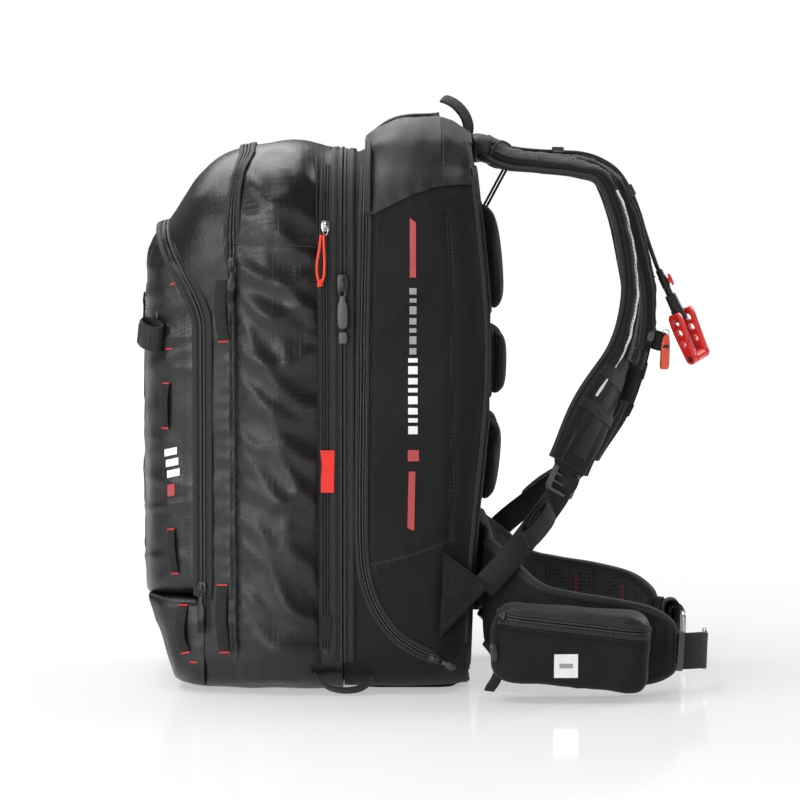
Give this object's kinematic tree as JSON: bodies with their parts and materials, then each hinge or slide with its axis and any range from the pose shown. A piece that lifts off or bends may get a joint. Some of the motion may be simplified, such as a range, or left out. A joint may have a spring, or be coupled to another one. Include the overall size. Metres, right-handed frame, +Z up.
{
  "type": "avalanche airbag backpack",
  "caption": "Ski touring backpack with a folded airbag under a burst flap, a gas inflator, a pull trigger on the left shoulder strap, a zip-off front bag and a padded hip belt.",
  "frame": {"origin": "middle of the flat base panel under the airbag half, on the surface the pack stands on", "axes": "+Z up, +X towards the wearer's back, +Y to the wearer's left"},
  "size_m": [0.5823, 0.3815, 0.5894],
  "materials": {
    "coated_ripstop": "satin",
    "matte_ripstop": "matte",
    "spacer_mesh": "matte",
    "moulded_foam": "matte",
    "webbing": "matte",
    "zip_tape": "satin",
    "black_acetal": "satin",
    "red_nylon": "gloss",
    "red_cord": "satin",
    "steel": "satin",
    "anodised_alloy": "satin",
    "polyethylene_sheet": "satin",
    "airbag_nylon": "matte"
  },
  "bodies": {
    "pack": {"airbag_shell": "matte_ripstop", "base_panel": "matte_ripstop", "divider_panel": "matte_ripstop", "frame_sheet": "polyethylene_sheet", "stay_left": "anodised_alloy", "stay_right": "anodised_alloy", "back_panel": "spacer_mesh", "back_pad_lower": "moulded_foam", "back_pad_middle": "moulded_foam", "back_pad_upper": "moulded_foam", "lumbar_pad": "moulded_foam", "hood_rear": "coated_ripstop", "airbag_folded": "airbag_nylon", "inflator_body": "anodised_alloy", "percussion_head": "anodised_alloy", "head_cap": "anodised_alloy", "pin_spring": "steel", "trigger_cable_inner": "black_acetal", "adjuster_webbing_left": "webbing", "adjuster_webbing_right": "webbing"},
    "front_bag": {"front_bag_shell": "coated_ripstop", "lower_front_panel": "coated_ripstop", "full_zip_tape": "zip_tape", "ski_loops_left": "webbing", "ski_loops_right": "webbing"},
    "tool_pocket": {"tool_pocket_panel": "coated_ripstop", "ice_axe_loop": "webbing"},
    "burst_flap": {"burst_flap": "coated_ripstop"},
    "grab_handle": {"grab_handle": "webbing"},
    "strap_right": {"shoulder_strap_right": "spacer_mesh", "ladder_lock_right": "black_acetal"},
    "strap_left": {"shoulder_strap_left": "spacer_mesh", "ladder_lock_left": "black_acetal", "cable_guide": "black_acetal", "trigger_cable_strap": "black_acetal"},
    "trigger": {"handle_hub": "red_nylon", "handle_rivet": "steel", "pull_wire": "steel"},
    "wing_near": {"handle_wing_near": "red_nylon"},
    "wing_far": {"handle_wing_far": "red_nylon"},
    "lock_button": {"lock_button": "red_nylon"},
    "firing_pin": {"firing_pin": "steel"},
    "cartridge": {"gas_cartridge": "steel"},
    "full_zip": {"full_zip_slider": "black_acetal"},
    "full_zip_pull": {"full_zip_pull": "black_acetal"},
    "side_zip": {"side_zip_slider": "black_acetal", "side_zip_cord": "red_cord"},
    "tool_zip": {"tool_zip_slider": "black_acetal"},
    "pouch_zip": {"pouch_zip_slider": "black_acetal"},
    "d_zip": {"d_zip_slider": "black_acetal"},
    "hip_right": {"hip_wing_right": "spacer_mesh", "hip_pouch": "coated_ripstop", "belt_webbing_right": "webbing", "belt_buckle_hook": "anodised_alloy"},
    "hip_left": {"hip_wing_left": "spacer_mesh", "belt_webbing_left": "webbing", "belt_buckle_loop": "anodised_alloy"},
    "sternum_right": {"sternum_slider_right": "black_acetal"},
    "sternum_left": {"sternum_slider_left": "black_acetal"},
    "whistle": {"whistle": "red_cord"}
  },
  "joints": [
    {"name": "full_zip_opening", "type": "hinge", "parent": "pack", "child": "front_bag", "pos_m": [-0.064, 0, 0], "axis": [0, -1, 0], "range_deg": [0, 70]},
    {"name": "tool_pocket_opening", "type": "hinge", "parent": "front_bag", "child": "tool_pocket", "pos_m": [-0.262, 0, 0.093], "axis": [0, -1, 0], "range_deg": [0, 50]},
    {"name": "burst_flap_opening", "type": "hinge", "parent": "pack", "child": "burst_flap", "pos_m": [-0.0396, 0, 0.545], "axis": [0, -1, 0], "range_deg": [0, 100]},
    {"name": "grab_handle_swing", "type": "hinge", "parent": "pack", "child": "grab_handle", "pos_m": [0.0655, 0, 0.5585], "axis": [0, 1, 0], "range_deg": [-10, 60]},
    {"name": "strap_right_swing", "type": "hinge", "parent": "pack", "child": "strap_right", "pos_m": [0.07, -0.045, 0.538], "axis": [0, 1, 0], "range_deg": [-12, 6], "deforming": ["adjuster_webbing_right"]},
    {"name": "strap_left_swing", "type": "hinge", "parent": "pack", "child": "strap_left", "pos_m": [0.07, 0.045, 0.538], "axis": [0, 1, 0], "range_deg": [-12, 6], "deforming": ["adjuster_webbing_left"]},
    {"name": "trigger_pull", "type": "slide", "parent": "strap_left", "child": "trigger", "axis": [0.4202, 0, -0.9074], "range_m": [0, 0.05], "stiffness_N_per_m": 800},
    {"name": "wing_near_unfold", "type": "hinge", "parent": "trigger", "child": "wing_near", "pos_m": [0.3035, 0.088, 0.3217], "axis": [0.6098, 0.7406, 0.2824], "range_deg": [0, 90]},
    {"name": "wing_far_unfold", "type": "hinge", "parent": "trigger", "child": "wing_far", "pos_m": [0.3035, 0.088, 0.3217], "axis": [0.6098, 0.7406, 0.2824], "range_deg": [-90, 0]},
    {"name": "lock_button_press", "type": "slide", "parent": "strap_left", "child": "lock_button", "axis": [-0.9074, 0.0039, -0.4202], "range_m": [0, 0.0012], "stiffness_N_per_m": 300},
    {"name": "firing_pin_travel", "type": "slide", "parent": "pack", "child": "firing_pin", "axis": [0, 0, 1], "range_m": [0, 0.012], "deforming": ["pin_spring"]},
    {"name": "cartridge_thread", "type": "hinge", "parent": "pack", "child": "cartridge", "pos_m": [0.01, 0.072, 0.13], "axis": [0, 0, 1], "continuous": true},
    {"name": "full_zip_run", "type": "slide", "parent": "pack", "child": "full_zip", "axis": [0, 0, 1], "range_m": [-0.33, 0.04]},
    {"name": "full_zip_pull_swing", "type": "hinge", "parent": "full_zip", "child": "full_zip_pull", "pos_m": [-0.064, -0.1636, 0.396], "axis": [-1, 0, 0], "range_deg": [0, 150]},
    {"name": "side_zip_run", "type": "slide", "parent": "front_bag", "child": "side_zip", "axis": [0, 0, 1], "range_m": [-0.05, 0.03]},
    {"name": "tool_zip_run", "type": "slide", "parent": "front_bag", "child": "tool_zip", "axis": [0, 0, 1], "range_m": [0, 0.25]},
    {"name": "pouch_zip_run", "type": "slide", "parent": "hip_right", "child": "pouch_zip", "axis": [1, 0, 0], "range_m": [0, 0.12]},
    {"name": "d_zip_run", "type": "slide", "parent": "pack", "child": "d_zip", "axis": [-1, 0, 0], "range_m": [0, 0.05]},
    {"name": "hip_right_wrap", "type": "hinge", "parent": "pack", "child": "hip_right", "pos_m": [0.072, -0.115, 0.09], "axis": [0, 0, 1], "range_deg": [-8, 16]},
    {"name": "hip_left_wrap", "type": "hinge", "parent": "pack", "child": "hip_left", "pos_m": [0.072, 0.115, 0.09], "axis": [0, 0, -1], "range_deg": [-8, 16]},
    {"name": "sternum_right_height", "type": "slide", "parent": "strap_right", "child": "sternum_right", "axis": [-0.3161, -0.1298, -0.9398], "range_m": [-0.012, 0.012]},
    {"name": "sternum_left_height", "type": "slide", "parent": "strap_left", "child": "sternum_left", "axis": [-0.2439, 0.1284, -0.9613], "range_m": [-0.012, 0.012]},
    {"name": "whistle_swing", "type": "hinge", "parent": "strap_left", "child": "whistle", "pos_m": [0.2685, 0.066, 0.344], "axis": [0, -1, 0], "range_deg": [-20, 20]}
  ],
  "couplings": [
    {"joint": "firing_pin_travel", "follows": "trigger_pull", "ratio": 0.24}
  ]
}
